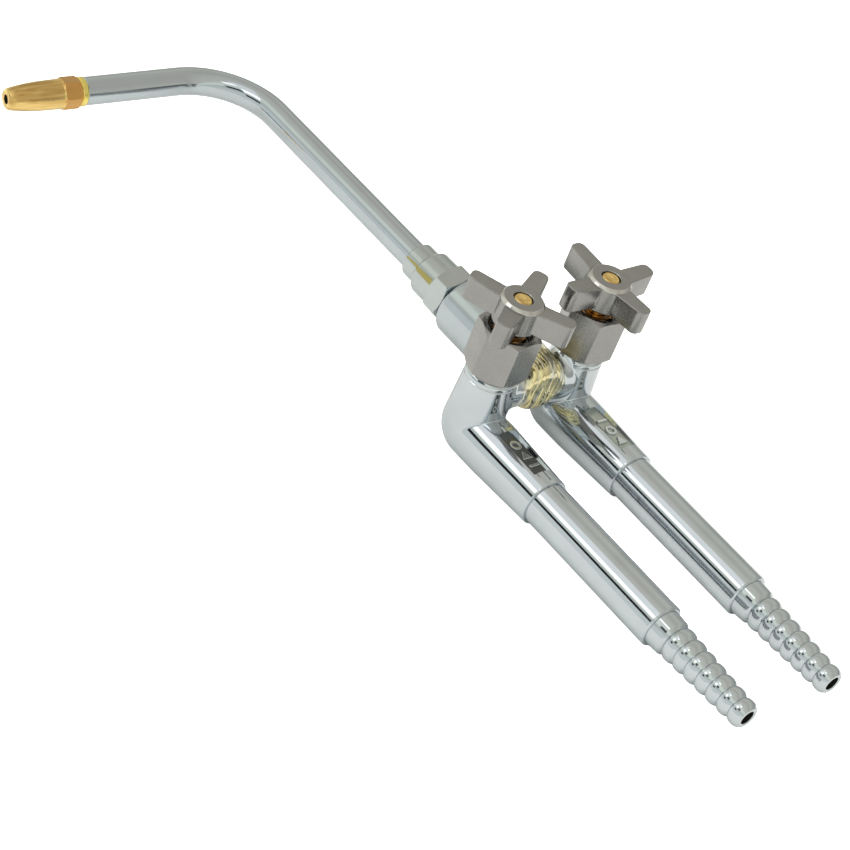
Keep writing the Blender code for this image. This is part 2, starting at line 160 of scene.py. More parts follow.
class Graph:
    """A short way to write a material's nodes."""

    def __init__(self, name):
        self.material = bpy.data.materials.new(name)
        self.material.use_nodes = True
        self.tree = self.material.node_tree
        self.shader = self.tree.nodes["Principled BSDF"]

    def link(self, source, target):
        self.tree.links.new(source, target)

    def place(self, scale):
        """Object coordinates stretched by scale; one unit is a metre."""
        coords = self.tree.nodes.new("ShaderNodeTexCoord")
        mapping = self.tree.nodes.new("ShaderNodeMapping")
        mapping.inputs["Scale"].default_value = scale
        self.link(coords.outputs["Object"], mapping.inputs["Vector"])
        return mapping.outputs["Vector"]

    def noise(self, scale, detail=3.0, roughness=0.5):
        node = self.tree.nodes.new("ShaderNodeTexNoise")
        node.inputs["Scale"].default_value = 1.0
        node.inputs["Detail"].default_value = detail
        node.inputs["Roughness"].default_value = roughness
        self.link(self.place(scale), node.inputs["Vector"])
        return node.outputs["Fac"]

    def remap(self, value, low, high, to_low, to_high):
        node = self.tree.nodes.new("ShaderNodeMapRange")
        node.interpolation_type = "SMOOTHSTEP"
        limits = {"From Min": low, "From Max": high, "To Min": to_low, "To Max": to_high}
        for socket, number in limits.items():
            node.inputs[socket].default_value = number
        self.link(value, node.inputs["Value"])
        return node.outputs["Result"]

    def maths(self, operation, first, second):
        return add_maths(self.tree, operation, first, second)

    def mix(self, amount, first, second):
        node = self.tree.nodes.new("ShaderNodeMix")
        node.data_type = "RGBA"
        self.link(amount, node.inputs["Factor"])
        for socket, value in ((node.inputs[6], first), (node.inputs[7], second)):
            if isinstance(value, tuple):
                socket.default_value = (*value, 1.0)
            else:
                self.link(value, socket)
        return node.outputs[2]

    def bump(self, height, distance, strength=1.0, before=None):
        node = self.tree.nodes.new("ShaderNodeBump")
        node.inputs["Distance"].default_value = distance
        node.inputs["Strength"].default_value = strength
        self.link(height, node.inputs["Height"])
        if before is not None:
            self.link(before, node.inputs["Normal"])
        return node.outputs["Normal"]


EVEN, FINE_GRAIN = (180, 180, 180), (900, 900, 900)


def metal(name, light, dark, rough, grain=FINE_GRAIN, depth=0.000002, patch=EVEN):
    """A metal whose tint and gloss wander in patches, with a fine directional grain.

    light, dark and rough are the ends of its tint and roughness; grain and patch are noise scales
    along the local axes, per metre, and depth is the grain's height in metres.
    """
    g = Graph(name)
    patches = g.noise(patch, 4.0, 0.55)
    lines = g.noise(grain, 2.0, 0.6)
    g.link(g.mix(g.remap(patches, 0.3, 0.75, 0.0, 1.0), light, dark), g.shader.inputs["Base Color"])
    worn = g.maths("MULTIPLY", g.remap(lines, 0.3, 0.8, 0.0, 1.0), rough[1] - rough[0])
    base = g.remap(patches, 0.2, 0.8, rough[0], rough[1])
    g.link(g.maths("ADD", worn, base), g.shader.inputs["Roughness"])
    g.link(g.bump(lines, depth), g.shader.inputs["Normal"])
    g.shader.inputs["Metallic"].default_value = 1.0
    return g


def chrome(name="bright_chrome"):
    """Bright plating: nearly a mirror, with faint polishing waves and slightly duller patches."""
    return metal(name, (0.56, 0.605, 0.645), (0.53, 0.57, 0.605), (0.04, 0.07),
                 (260, 260, 900), 0.000001, (60, 60, 60))


def tube_chrome(name="tube_chrome"):
    """The plating of the neck and the barrel: the bright chrome a shade darker and a little rougher; the
    darker tint is painted shade, for the shade these pieces reflect.
    """
    return metal(name, (0.50, 0.545, 0.585), (0.475, 0.515, 0.55), (0.05, 0.08),
                 (260, 260, 900), 0.000001, (60, 60, 60))


def satin_nickel():
    """The dull plating of the hand wheels and valve nuts."""
    return metal("satin_nickel", (0.335, 0.33, 0.325), (0.305, 0.30, 0.295), (0.24, 0.28),
                 (1500, 1500, 160), 0.0000012, (90, 90, 90))


def nut_nickel():
    """The collars' and union nut's plating, with its worn streak."""
    return worn_streak(metal("nut_nickel", (0.50, 0.54, 0.555), (0.465, 0.50, 0.505), (0.09, 0.13),
                             (500, 500, 1500), 0.000002, (90, 90, 90)))


def turned_brass(name, light=(0.92, 0.68, 0.27), dark=(0.46, 0.26, 0.075), rough=(0.13, 0.18)):
    """Bare brass with fine turning rings and paler and browner streaks along its length."""
    return metal(name, light, dark, rough, (60, 60, 3200), 0.000003, (330, 330, 26))


def plain(name, light, dark, rough):
    """A non-metal for the hidden seals and packings."""
    g = Graph(name)
    specks = g.noise((900, 900, 900), 3.0, 0.6)
    g.link(g.mix(g.remap(specks, 0.35, 0.7, 0.0, 1.0), light, dark), g.shader.inputs["Base Color"])
    g.link(g.remap(specks, 0.2, 0.8, rough - 0.08, rough + 0.08), g.shader.inputs["Roughness"])
    g.link(g.bump(specks, 0.00003), g.shader.inputs["Normal"])
    return g


def local_axes(g):
    coords = g.tree.nodes.new("ShaderNodeTexCoord")
    split = g.tree.nodes.new("ShaderNodeSeparateXYZ")
    g.link(coords.outputs["Object"], split.inputs["Vector"])
    return split.outputs


# The braze fades out between these distances, in metres: sideways from the middle, and forwards
BRAZE_EDGE, BRAZE_FRONT = (0.008, 0.014), (-0.001, 0.007)
BRAZE_COLOUR, RIPPLE_DEPTH = (0.80, 0.70, 0.38), 0.0024


def braze_tint(g, ahead):
    """Warm colour and ripples where the cross passage is brazed in between the two valve bodies.

    ahead names the local axis that points towards the burner neck.
    """
    place = local_axes(g)
    middle = g.remap(g.maths("ABSOLUTE", place["X"], 0.0), *BRAZE_EDGE, 1.0, 0.0)
    behind = g.remap(place[ahead], *BRAZE_FRONT, 1.0, 0.0)
    runs = g.noise((430, 75, 75), 1.0, 0.4)
    reach = g.maths("MULTIPLY", middle, behind)
    amount = g.maths("MULTIPLY", reach, g.remap(runs, 0.30, 0.55, 0.35, 1.0))
    colour = g.shader.inputs["Base Color"].links[0].from_socket
    g.link(g.mix(amount, colour, BRAZE_COLOUR), g.shader.inputs["Base Color"])
    ripple = g.maths("MULTIPLY", runs, reach)
    before = g.shader.inputs["Normal"].links[0].from_socket
    g.link(g.bump(ripple, RIPPLE_DEPTH, 0.9, before), g.shader.inputs["Normal"])
    return g


STREAK_ANGLE, STREAK_START = math.radians(-154), 0.0595   # round the barrel axis; metres along it
STREAK_EDGE, STREAK_TAPER = (0.10, 0.16), 4.6             # radians from its middle; radians a metre
STREAK_COLOUR = (0.44, 0.37, 0.13)


def worn_streak(g):
    """Plating worn through to the brass in one narrow streak along the collars of the neck."""
    place = local_axes(g)
    angle = g.maths("ARCTAN2", place["Y"], place["X"])
    off = g.maths("ABSOLUTE", g.maths("SUBTRACT", angle, STREAK_ANGLE), 0.0)
    narrowing = g.maths("MULTIPLY", g.maths("SUBTRACT", place["Z"], STREAK_START), STREAK_TAPER)
    off = g.maths("ADD", off, narrowing)
    beyond = g.remap(place["Z"], STREAK_START - 0.0008, STREAK_START, 0.0, 1.0)
    amount = g.maths("MULTIPLY", g.remap(off, *STREAK_EDGE, 1.0, 0.0), beyond)
    colour = g.shader.inputs["Base Color"].links[0].from_socket
    g.link(g.mix(amount, colour, STREAK_COLOUR), g.shader.inputs["Base Color"])
    return g


GRAPHS = {
    "chrome": chrome(),
    "cross": braze_tint(chrome("bright_chrome_cross"), "Y"),
    # The barrel and the neck tube take the darker tube chrome, whose lower tint is painted shade.
    "barrel": braze_tint(tube_chrome("barrel_chrome"), "Z"),
    "tube": tube_chrome(),
    "satin": satin_nickel(),
    "rim": metal("polished_rim", (0.56, 0.545, 0.53), (0.50, 0.49, 0.475), (0.07, 0.11)),
    "nut": nut_nickel(),
    # The two panel looks are one recessed finish tinted two ways: the paler copy for the right arm is
    # painted light.
    "panel": metal("panel_floor", (0.20, 0.21, 0.21), (0.14, 0.145, 0.15), (0.30, 0.40), depth=0.00001),
    "panel_painted_light": metal("panel_floor_painted_light", (0.50, 0.53, 0.50), (0.43, 0.46, 0.43), (0.22, 0.30),
                        depth=0.000006),
    "mark": metal("panel_mark", (0.72, 0.76, 0.78), (0.66, 0.70, 0.72), (0.18, 0.24), depth=0.000003),
    "brass": turned_brass("turned_brass"),
    "brass_hex": turned_brass("brass_hexagon", (0.66, 0.37, 0.12), (0.58, 0.31, 0.09), (0.24, 0.30)),
    "bush": turned_brass("yellow_bush", (0.88, 0.74, 0.22), (0.80, 0.64, 0.16), (0.2, 0.3)),
    "gland": turned_brass("gland_brass", (0.55, 0.30, 0.12), (0.34, 0.16, 0.06), (0.22, 0.34)),
    # painted shade: a near-black metal for the insides of the bores, standing in for the darkness deep
    # inside them
    "bore": metal("bore_painted_shade", (0.05, 0.045, 0.04), (0.02, 0.018, 0.016), (0.5, 0.7), depth=0.00002),
    "ptfe": plain("packing_white", (0.88, 0.88, 0.85), (0.74, 0.74, 0.70), 0.5),
    "rubber": plain("seat_rubber", (0.030, 0.030, 0.030), (0.015, 0.015, 0.016), 0.6),
    "fibre": plain("red_fibre", (0.36, 0.11, 0.07), (0.22, 0.06, 0.04), 0.7),
}
MATERIALS = {look: graph.material for look, graph in GRAPHS.items()}
# Pieces inside the torch keep their CAD shape and only get a look
HIDDEN_LOOKS = {"injector": "brass", "neck_seal": "fibre"}
SIDE_LOOKS = {"bonnet_seal": "fibre", "packing": "ptfe", "jumper": "brass", "seat_disc": "rubber",
              "nozzle_seal": "fibre"}
for name, look in SIDE_LOOKS.items():
    for side in SIDES:
        HIDDEN_LOOKS[side + "_" + name] = look


# ---------------------------------------------------------------- shapes, in millimetres

def skin(rings, closed=False):
    """Skin a list of rings; a ring of one point is a pole, and an open list gets end caps."""
    shape = bmesh.new()
    loops = [[shape.verts.new(point) for point in ring] for ring in rings]
    pairs = list(zip(loops, loops[1:])) + ([(loops[-1], loops[0])] if closed else [])
    for low, high in pairs:
        count = max(len(low), len(high))
        for k in range(count):
            n = (k + 1) % count
            if len(low) == 1:
                shape.faces.new((low[0], high[n], high[k]))
            elif len(high) == 1:
                shape.faces.new((low[k], low[n], high[0]))
            else:
                shape.faces.new((low[k], low[n], high[n], high[k]))
    if not closed:
        for ring in (loops[0], loops[-1]):
            if len(ring) > 2:
                shape.faces.new(ring)
    return shape


def arc(centre_r, centre_h, radius, start_deg, end_deg, steps=6):
    """Points of a profile along an arc, from one angle to the other."""
    points = []
    for k in range(steps + 1):
        a = math.radians(start_deg + (end_deg - start_deg) * k / steps)
        points.append((centre_r + radius * math.cos(a), centre_h + radius * math.sin(a)))
    return points


def soften(profile, closed=False, steps=4):
    """Round the corners of a profile whose points may carry a third number, the corner's radius."""
    result = []
    count = len(profile)
    for k, point in enumerate(profile):
        radius = point[2] if len(point) > 2 else 0.0
        inside = closed or 0 < k < count - 1
        if radius <= 0 or not inside:
            result.append((point[0], point[1]))
            continue
        here = Vector(point[:2])
        back = Vector(profile[k - 1][:2]) - here
        on = Vector(profile[(k + 1) % count][:2]) - here
        half = back.angle(on) / 2
        cut = min(radius / math.tan(half), back.length * 0.49, on.length * 0.49)
        real = cut * math.tan(half)
        middle = here + (back.normalized() + on.normalized()).normalized() * (real / math.sin(half))
        first = here + back.normalized() * cut - middle
        sweep = first.angle_signed(here + on.normalized() * cut - middle)
        for s in range(steps + 1):
            turned = first.copy()
            turned.rotate(Matrix.Rotation(-sweep * s / steps, 2))
            result.append(tuple(middle + turned))
    return result


def turn_rings(profile, facets=ROUND, start=0.0):
    """One ring for each radius and height of a profile; a radius of nought makes a pole."""
    angles = [start + TURN * k / facets for k in range(facets)]
    rings = []
    for r, h in profile:
        if r <= 0:
            rings.append([Vector((0, 0, h))])
        else:
            rings.append([Vector((r * math.cos(a), r * math.sin(a), h)) for a in angles])
    return rings


def lathe(profile, facets=ROUND, closed=False, start=0.0):
    return skin(turn_rings(soften(profile, closed), facets, start), closed)


def hexagon(across_flats, turn_deg, corner=0.5, steps=4):
    """Outline of a hexagon with slightly rounded corners and one flat's normal at turn_deg."""
    apothem = across_flats / 2
    outline = []
    for k in range(6):
        middle = math.radians(turn_deg + 30 + 60 * k)
        way = Vector((math.cos(middle), math.sin(middle)))
        centre = way * (apothem - corner) / math.cos(math.pi / 6)
        for s in range(steps + 1):
            a = middle + math.radians(-30 + 60 * s / steps)
            outline.append((centre.x + corner * math.cos(a), centre.y + corner * math.sin(a)))
    return outline


def prism(outline, low, high):
    return skin([[Vector((x, y, h)) for x, y in outline] for h in (low, high)])


def to_object(name, shape):
    """Turn a shape drawn in millimetres into an object in metres, still at the world's origin."""
    bmesh.ops.scale(shape, vec=(MM, MM, MM), verts=shape.verts)
    bmesh.ops.remove_doubles(shape, verts=shape.verts, dist=1e-7)
    bmesh.ops.recalc_face_normals(shape, faces=shape.faces)
    mesh = bpy.data.meshes.new(name)
    shape.to_mesh(mesh)
    shape.free()
    thing = bpy.data.objects.new(name, mesh)
    bpy.context.scene.collection.objects.link(thing)
    return thing


def combine(thing, shape, operation):
    """Apply a Boolean with a shape drawn in the same local millimetres."""
    tool = to_object("tool", shape)
    step = thing.modifiers.new("step", "BOOLEAN")
    step.operation, step.object, step.solver = operation, tool, "EXACT"
    bpy.context.view_layer.update()
    fresh = bpy.data.meshes.new_from_object(thing.evaluated_get(bpy.context.evaluated_depsgraph_get()))
    thing.modifiers.clear()
    old, thing.data = thing.data, fresh
    bpy.data.meshes.remove(old)
    bpy.data.objects.remove(tool)
    return thing


def dress(thing, place, look, body, nodes=(), crease=30.0):
    """Put a finished piece in the world, shade it and let it ride."""
    thing.matrix_world = TORCH @ Matrix.Translation(place.translation * MM) @ place.to_3x3().to_4x4()
    thing.data.shade_smooth()
    thing.data.set_sharp_from_angle(angle=math.radians(crease))
    thing.data.materials.clear()
    thing.data.materials.append(MATERIALS[look])
    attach(thing, body)
    if nodes:
        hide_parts(*nodes)
    return thing


def repaint(thing, look, chosen):
    """Give some faces another look; chosen takes a face's middle, in local millimetres."""
    thing.data.materials.append(MATERIALS[look])
    last = len(thing.data.materials) - 1
    for face in thing.data.polygons:
        if chosen(face.center / MM):
            face.material_index = last


# ---------------------------------------------------------------- valve bodies with their cast arms

PANEL_HALF, PANEL_FLOOR, PANEL_START, PANEL_END = 4.3, 9.75, 19.0, 43.0
INNER_BEND, BEND_GROWTH, BEND_POWER = 0.3, 15.2, 1.8   # bend radius inside, and how it grows outwards
TAPER_START = 15.5
MARK_HEIGHT, MARK_FIRST, MARK_STEP = 0.75, 25.5, 6.2
# The right panel takes the paler copy of the panel finish: painted light.
PANEL_LOOK = {"left": "panel", "right": "panel_painted_light"}


def elbow_angles():
    """Angles round the casting, measured from the side that faces the sky on the arm."""
    edge = math.asin(PANEL_HALF / ARM_R)
    wall = 0.012
    across = [edge * (k / 6) for k in range(7)]
    beyond = [edge + wall + (math.pi - edge - wall) * (k / 64) for k in range(64)]
    half = across + beyond
    return half + [math.pi] + [-a for a in reversed(half[1:])]


def elbow_rings(side):
    """Upright cylinder turning into the arm: sharp inside the bend, well rounded outside."""
    x0 = SIDES[side] * VALVE_X
    angles = elbow_angles()

    def upright(radius, height):
        return [Vector((x0 + radius * math.sin(a), -radius * math.cos(a), height)) for a in angles]

    lip, groove = NECK_R + 0.1, NECK_R - 0.35
    mouth = [(8.2, BODY_TOP - 0.4), (9.3, BODY_TOP - 0.4), (9.3, BODY_TOP), (10.2, BODY_TOP, 0.3),
             (lip, BODY_TOP - 1.5, 1.2), (lip, BODY_TOP - 2.9, 0.35), (groove, BODY_TOP - 3.1, 0.15),
             (groove, BODY_TOP - 3.5, 0.15), (NECK_R, BODY_TOP - 3.8, 0.2), (NECK_R + 0.02, BODY_TOP - 4.4)]
    rings = [upright(r, h) for r, h in soften(mouth)]
    steps = 16
    for s in range(steps + 1):
        bend_turn = math.pi / 2 * s / steps
        ring = []
        for a in angles:
            bend = INNER_BEND + BEND_GROWTH * ((1 - math.cos(a)) / 2) ** BEND_POWER
            y = -BODY_R * math.cos(a) - bend * (1 - math.cos(bend_turn))
            z = BODY_R * math.cos(a) + bend * (1 - math.sin(bend_turn))
            ring.append(Vector((x0 + BODY_R * math.sin(a), y, z)))
        rings.append(ring)
    start = rings[-1]

    def along_arm(distance, radius, sunk):
        ring = []
        for k, a in enumerate(angles):
            first = -start[k].y
            d = distance if distance > first else first
            x, z = radius * math.sin(a), radius * math.cos(a)
            if sunk and abs(x) < PANEL_HALF + 0.02 and z > 0:
                z = PANEL_FLOOR
            ring.append(Vector((x0 + x, -d, z)))
        return ring

    def taper(distance):
        t = (distance - TAPER_START) / (ARM_END - TAPER_START)
        return BODY_R + (ARM_R - BODY_R) * max(0.0, min(1.0, t))

    wall = 0.25
    for distance in (16.0, PANEL_START, PANEL_START + wall, 25.0, 31.0, 37.0, PANEL_END - wall,
                     PANEL_END, 46.0):
        rings.append(along_arm(distance, taper(distance), PANEL_START < distance < PANEL_END))
    for r, d in soften([(taper(46.0), 46.0), (taper(ARM_END), ARM_END, 0.5), (GRIP_R - 0.6, ARM_END)]):
        rings.append(along_arm(d, r, False))
    return rings


def build_valve_body(side):
    body = to_object(side + "_valve_casting", skin(elbow_rings(side)))
    dress(body, CASTING, "chrome", "torch", [side + "_valve_body"], crease=38.0)
    x0 = SIDES[side] * VALVE_X

    def on_panel(c):
        return abs(c.x - x0) < PANEL_HALF - 0.2 and abs(c.z - PANEL_FLOOR) < 0.1

    # the right arm's panel gets the paler, painted-light tint
    repaint(body, PANEL_LOOK[side], on_panel)


def ring_mark(outer, inner):
    outline = [(outer, 0.0), (outer, MARK_HEIGHT), (inner, MARK_HEIGHT), (inner, 0.0)]
    return lathe([(r, h, 0.2) for r, h in outline], 40, closed=True)


def build_panel_marks(side):
    """Three plain raised shapes in the panel, in place of a maker's lettering."""
    x0 = SIDES[side] * VALVE_X
    shapes = {"ring": ring_mark(2.6, 1.4),
              "bar": prism([(-2.6, -0.7), (2.6, -0.7), (2.6, 0.7), (-2.6, 0.7)], 0.0, MARK_HEIGHT),
              "wedge": prism([(-2.6, -2.2), (2.6, -2.2), (0.0, 2.4)], 0.0, MARK_HEIGHT)}
    order = ("ring", "wedge", "bar") if side == "left" else ("bar", "ring", "wedge")
    for k, word in enumerate(order):
        mark = to_object(side + "_panel_" + word, shapes[word])
        bevel = mark.modifiers.new("edge", "BEVEL")
        bevel.width, bevel.segments, bevel.limit_method = 0.16 * MM, 2, "ANGLE"
        spot = axis_frame((x0, -MARK_FIRST - MARK_STEP * k, PANEL_FLOOR - 0.05), (0, 0, 1), (1, 0, 0))
        dress(mark, spot, "mark", "torch")


# ---------------------------------------------------------------- mixing body between the valves

def body_radius(height):
    """Radius of a valve body's upright part at a height."""
    t = (BODY_TOP - 3.8 - height) / 14.0
    return NECK_R + (BODY_R - NECK_R) * max(0.0, min(1.0, t))


def cross_rings(side, fillet=4.5, facets=FINE, steps=12):
    """Half of the cross passage, from the middle out, ending in a rolling-ball fillet on a valve body."""
    sign = SIDES[side]
    angles = [TURN * k / facets for k in range(facets)]
    centres = []
    for a in angles:
        y, z = (CROSS_R + fillet) * math.sin(a), PORT_Z + (CROSS_R + fillet) * math.cos(a)
        reach = body_radius(z) + fillet
        x = VALVE_X - math.sqrt(reach * reach - y * y)
        centres.append(Vector((sign * x, y, z)))
    rings = [[Vector((0.0, CROSS_R * math.sin(a), PORT_Z + CROSS_R * math.cos(a))) for a in angles]]
    axis_x = sign * VALVE_X
    for s in range(steps + 2):
        ring = []
        for a, centre in zip(angles, centres):
            first = Vector((0, -math.sin(a), -math.cos(a)))
            last = (Vector((axis_x, 0, centre.z)) - centre).normalized()
            swing = first.angle(last)
            t = min(s, steps) / steps
            way = (first * math.sin((1 - t) * swing) + last * math.sin(t * swing)) / math.sin(swing)
            point = centre + way * fillet
            if s > steps:
                point = point + last * 1.5
            ring.append(point)
        rings.append(ring)
    return rings


def build_mixer():
    barrel = [(0, -10.8)] + arc(6.4, -4.3, 6.5, -90, -15, 12)
    shoulder = 3.1
    barrel += [(13.2, 1.0, 6.0), (BARREL_R, 14.0, 30.0)]
    barrel += arc(BARREL_R - shoulder, BARREL_END - shoulder, shoulder, 0, 90, 14)
    barrel += [(8.7, BARREL_END), (8.7, BARREL_END + 9.3, 0.4), (3.6, BARREL_END + 9.3)]
    main = to_object("mixer_barrel", lathe(barrel, FINE))
    dress(main, BARREL, "barrel", "torch", ["mixer_body"], crease=34.0)
    for side in SIDES:
        arm = to_object(side + "_cross_arm", skin(cross_rings(side)))
        dress(arm, CASTING, "cross", "torch", crease=60.0)


# ---------------------------------------------------------------- valve tops

def build_bonnet(side):
    low, top = BODY_TOP + 0.5, BONNET_TOP
    corner = BONNET_FLATS / math.sqrt(3)
    turned = [(0, low), (11.7, low), (corner - 0.55, low + 1.2, 0.3), (corner + 0.4, low + 2.2),
              (corner + 0.4, top - 1.8), (corner - 0.55, top - 1.0, 0.3), (11.9, top), (0, top)]
    bonnet = to_object(side + "_bonnet_nut", lathe(turned))
    combine(bonnet, prism(hexagon(BONNET_FLATS, BONNET_TURN[side]), low - 1, top + 1), "INTERSECT")
    recess = [(0, BONNET_RECESS), (9.6, BONNET_RECESS, 0.4), (9.6, top - 0.6), (10.6, top + 0.4),
              (10.6, 60), (0, 60)]
    combine(bonnet, lathe(recess, start=0.011), "DIFFERENCE")
    combine(bonnet, lathe([(0, 40), (6.8, 40), (6.8, 50), (0, 50)], 48, start=0.02), "DIFFERENCE")
    bevel = bonnet.modifiers.new("edge", "BEVEL")
    bevel.width, bevel.segments, bevel.limit_method = 0.14 * MM, 2, "ANGLE"
    bevel.angle_limit = math.radians(35)
    dress(bonnet, valve_frame(side), "satin", "torch", [side + "_bonnet"])


def build_gland_nut(side):
    turned = [(6.5, 44.3), (6.5, 46.3, 0.2), (6.9, 46.3, 0.2), (7.6, 46.9), (7.6, 49.3),
              (6.8, 50.1, 0.2), (4.2, 50.1, 0.3), (4.2, 44.3)]
    nut = to_object(side + "_gland", lathe(turned, closed=True))
    combine(nut, prism(hexagon(13.4, BONNET_TURN[side] + 11), 44.0, 51), "INTERSECT")
    dress(nut, valve_frame(side), "gland", "torch", [side + "_gland_nut"])


def build_spindle(side):
    profile = [(2.3, 16.4), (5.0, 16.4, 0.3), (5.5, 17.0, 0.2), (5.5, 37.4, 0.3), (4.9, 38.0, 0.2),
               (3.9, 38.3, 0.2), (3.9, 66.75, 0.25), (3.3, 67.2, 0.2), (0.9, 67.2, 0.2), (0.5, 66.9),
               (0, 66.85)]
    stem = to_object(side + "_needle_stem", lathe(profile, 64))
    dress(stem, valve_frame(side), "brass", side + "_wheel", [side + "_spindle"])


def cross_outline(inset, turn_deg):
    """Plan of the four-armed handle moved inwards by inset: arms narrow towards their rounded ends."""
    root_half, tip_half, reach, corner, fillet, root = 4.35, 3.7, 23.6, 2.9, 3.4, 9.3
    arm = []
    w = root_half - inset
    r = root - inset
    blend = fillet + inset
    centre_x = math.sqrt((r + blend) ** 2 - (w + blend) ** 2)
    start = math.atan2(w + blend, centre_x)
    for k in range(7):
        a = start + math.pi + (math.pi / 2 - start) * k / 6
        arm.append((centre_x + blend * math.cos(a), w + blend + blend * math.sin(a)))
    c = corner - inset
    half = tip_half - inset
    for k in range(7):
        a = math.pi / 2 * (1 - k / 6)
        arm.append((reach - inset - c + c * math.cos(a), half - c + c * math.sin(a)))
    arm += [(x, -y) for x, y in reversed(arm)]
    gap = math.pi / 2 - 2 * start
    waist = [(r * math.cos(start + gap * t), -r * math.sin(start + gap * t)) for t in (0.25, 0.5, 0.75)]
    outline = []
    for quarter in range(4):
        turn = math.radians(turn_deg) - quarter * math.pi / 2
        cos, sin = math.cos(turn), math.sin(turn)
        outline += [(x * cos - y * sin, x * sin + y * cos) for x, y in arm + waist]
    return outline


def build_handle(side):
    """Deep four-armed hand wheel; its hub stands proud and its rim is polished bright."""
    turn = HANDLE_TURN[side]
    edge, low, high, rise = 0.7, 56.0, HANDLE_TOP - 2.2, 0.088
    rings = []
    for k in range(5):
        a = math.pi / 2 * k / 4
        rings.append((edge * (1 - math.sin(a)), low + edge * (1 - math.cos(a)), 0.0))
    for k in range(5):
        a = math.pi / 2 * k / 4
        rings.append((edge * (1 - math.cos(a)), high - edge * (1 - math.sin(a)), rise))
    skins = [[Vector((x, y, height + slope * math.hypot(x, y))) for x, y in cross_outline(inset, turn)]
             for inset, height, slope in rings]
    skins = [[Vector((0, 0, low))]] + skins + [[Vector((0, 0, high))]]
    handle = to_object(side + "_hand_wheel", skin(skins))
    top = HANDLE_TOP
    hub = [(0, 54.4), (8.9, 54.4, 0.3), (9.6, 55.2, 0.3), (9.6, top - 1.3, 0.5), (8.5, top - 0.1, 0.5),
           (7.9, top, 0.4), (0, top)]
    combine(handle, lathe(hub, ROUND, start=0.013), "UNION")
    bore = [(0, 50), (4.2, 50), (4.2, top - 0.35), (4.55, top + 0.05), (4.55, 70), (0, 70)]
    combine(handle, lathe(bore, 48, start=0.02), "DIFFERENCE")
    dress(handle, valve_frame(side), "satin", side + "_wheel", [side + "_handle"], 35.0)

    def on_rim(c):
        return 8.3 < math.hypot(c.x, c.y) < 9.65 and top - 1.9 < c.z < top - 0.05

    repaint(handle, "rim", on_rim)


# ---------------------------------------------------------------- grips and hose nozzles

def build_grip(side):
    profile = [(5.8, GRIP_END), (GRIP_R - 0.7, GRIP_END, 0.3), (GRIP_R, GRIP_END - 0.7, 0.4),
               (GRIP_R, ARM_END - 0.1), (7.2, ARM_END - 0.1), (7.2, 39.6), (5.4, 39.6), (5.4, 52.0),
               (7.4, 54.0), (7.4, 111.0), (5.4, 113.4), (5.8, 113.4)]
    grip = to_object(side + "_grip_sleeve", lathe(profile, FINE, closed=True))
    dress(grip, arm_frame(side), "chrome", "torch", [side + "_grip"])


def nozzle_profile():
    """Stub, seven rounded beads that shrink towards the open end, and the rolled end lip."""
    profile = [(3.1, 115.0), (5.5, 115.0), (5.5, GRIP_END - 0.1), (8.6, GRIP_END - 0.1),
               (8.5, GRIP_END + 1.5), (8.25, 130.6), (8.1, 131.2), (7.4, 131.9)]
    beads, first, depth = 7, 132.2, 1.9
    pitch = (NOZZLE_END - 0.4 - first) / beads
    for i in range(beads):
        peak = 7.9 - 1.7 * i / (beads - 1)
        for k in range(13):
            t = -0.92 + 1.84 * k / 12
            swell = math.sqrt(1 - t * t) ** 0.85
            profile.append((peak - depth + depth * swell, first + pitch * (i + 0.5 + t / 2)))
    return profile + [(4.9, NOZZLE_END - 0.15), (4.6, NOZZLE_END), (3.6, NOZZLE_END),
                      (3.2, NOZZLE_END - 0.3), (3.1, NOZZLE_END - 0.8)]


def build_hose_nozzle(side):
    nozzle = to_object(side + "_hose_tail", lathe(nozzle_profile(), ROUND, closed=True))
    dress(nozzle, arm_frame(side), "chrome", "torch", [side + "_hose_nozzle"], crease=50.0)
    # The open bore of the hose tail gets the near-black look: painted shade for its dark inside.
    repaint(nozzle, "bore", lambda c: math.hypot(c.x, c.y) < 3.4 and c.z < NOZZLE_END - 0.5)


# ---------------------------------------------------------------- burner neck

def build_union_nut():
    low, high = BARREL_END + 0.4, BARREL_END + 10.0
    collar_end, shelf = BARREL_END + 22.4, BARREL_END + 15.6
    corner = UNION_FLATS / math.sqrt(3)
    turned = [(0, low), (11.0, low), (corner - 0.4, low + 1.0, 0.2), (corner + 0.4, low + 1.6),
              (corner + 0.4, high - 1.6), (corner - 0.4, high - 1.0, 0.2), (11.0, high), (0, high)]
    nut = to_object("neck_union_nut", lathe(turned))
    combine(nut, prism(hexagon(UNION_FLATS, UNION_TURN), low - 1, high + 1), "INTERSECT")
    collar = [(0, high - 2.0), (10.6, high - 2.0)]
    collar += arc(7.8, collar_end - 2.8, 2.8, 0, 78, 10) + [(0, collar_end)]
    combine(nut, lathe(collar, start=0.01), "UNION")
    bore = [(0, 30), (9.4, 30), (9.4, shelf), (8.7, shelf + 0.4), (8.7, 80), (0, 80)]
    combine(nut, lathe(bore, 64, start=0.02), "DIFFERENCE")
    dress(nut, BARREL, "nut", "union_nut", ["union_nut"])


